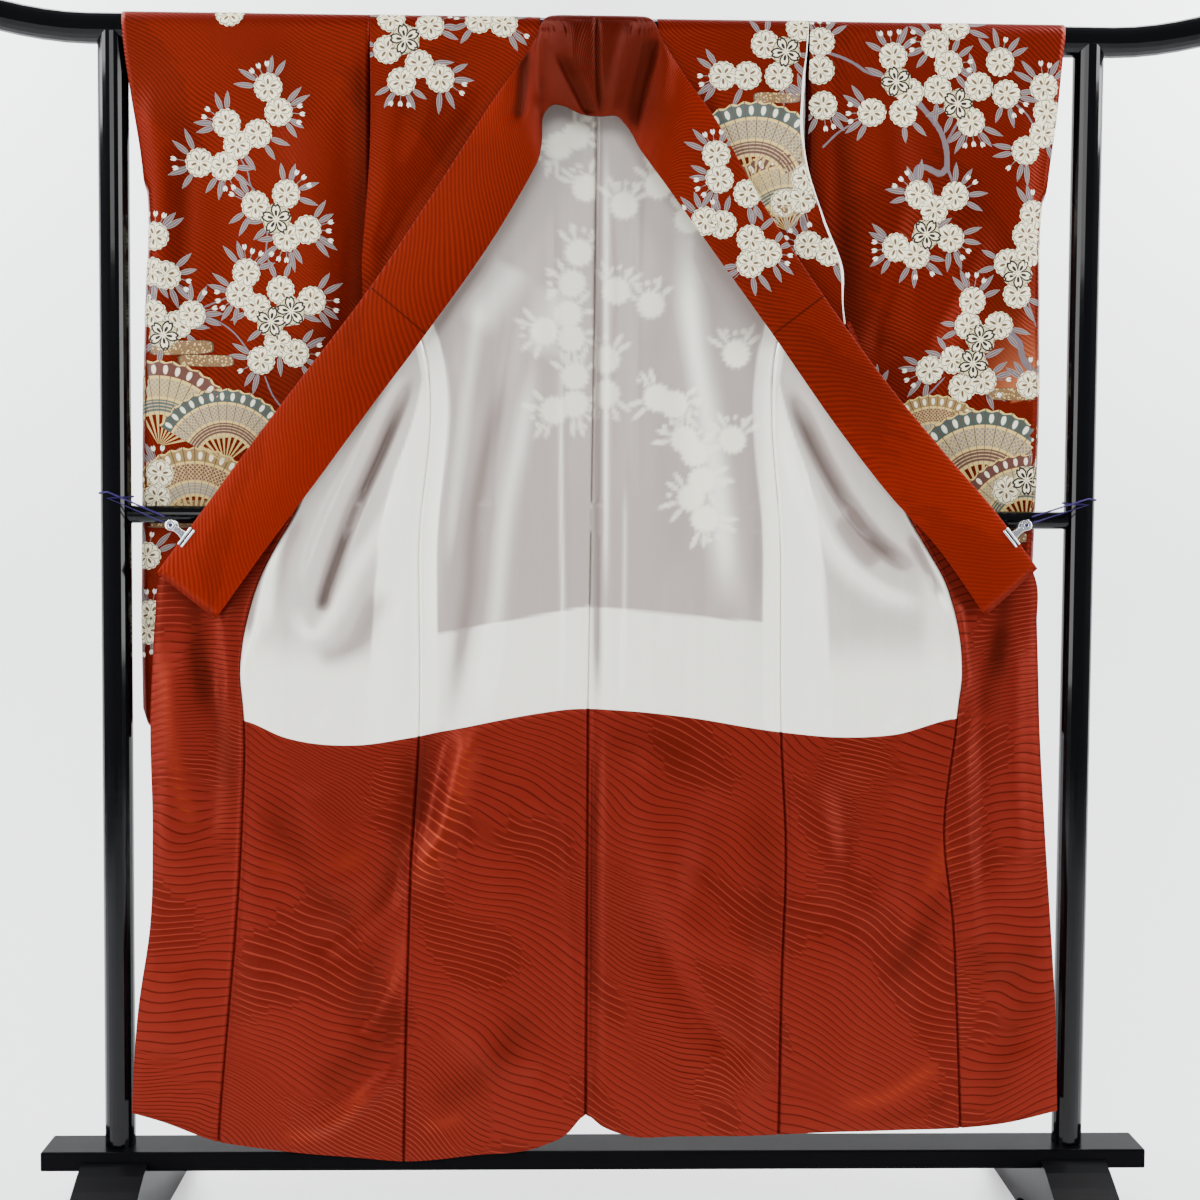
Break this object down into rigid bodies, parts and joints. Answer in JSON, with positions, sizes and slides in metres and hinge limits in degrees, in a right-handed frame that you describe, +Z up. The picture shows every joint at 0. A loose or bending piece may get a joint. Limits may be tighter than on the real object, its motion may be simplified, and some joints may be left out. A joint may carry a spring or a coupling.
{
  "type": "furisode kimono on a kimono stand",
  "caption": "Long-sleeved silk kimono hung open over the rail of a black lacquered kimono stand, its fronts and collar drawn outward so that the lining and hem facing show.",
  "frame": {"origin": "the floor under the middle of the stand, at the bottom centre of the whole object's box", "axes": "+X along the top rail towards the viewer's right, +Y away from the viewer towards the back of the garment, +Z up"},
  "size_m": [1.9348, 0.47, 1.8227],
  "materials": {
    "silk_red": "rust-red figured silk with a woven ripple and dyed blossoms",
    "silk_lining_white": "thin white satin lining",
    "silk_hakkake_red": "rust-red silk facing with the same woven ripple",
    "black_lacquer": "high-gloss black lacquer",
    "clip_steel": "polished spring steel",
    "purple_cord": "thin twisted purple cord"
  },
  "bodies": {
    "root": {"back_left": "silk_red", "back_lining_left": "silk_lining_white", "back_hakkake_left": "silk_hakkake_red", "front_left": "silk_red", "front_lining_left": "silk_lining_white", "front_hakkake_left": "silk_hakkake_red", "okumi_left": "silk_red", "okumi_hakkake_left": "silk_hakkake_red", "sleeve_left": "silk_red", "post_left": "black_lacquer", "foot_left": "black_lacquer", "clip_left": "clip_steel", "clip_ring_left": "clip_steel", "clip_cord_left": "purple_cord", "back_right": "silk_red", "back_lining_right": "silk_lining_white", "back_hakkake_right": "silk_hakkake_red", "front_right": "silk_red", "front_lining_right": "silk_lining_white", "front_hakkake_right": "silk_hakkake_red", "okumi_right": "silk_red", "okumi_hakkake_right": "silk_hakkake_red", "sleeve_right": "silk_red", "post_right": "black_lacquer", "foot_right": "black_lacquer", "clip_right": "clip_steel", "clip_ring_right": "clip_steel", "clip_cord_right": "purple_cord", "collar": "silk_red", "top_rail": "black_lacquer", "mid_rail": "black_lacquer", "base_bar": "black_lacquer"}
  },
  "joints": []
}
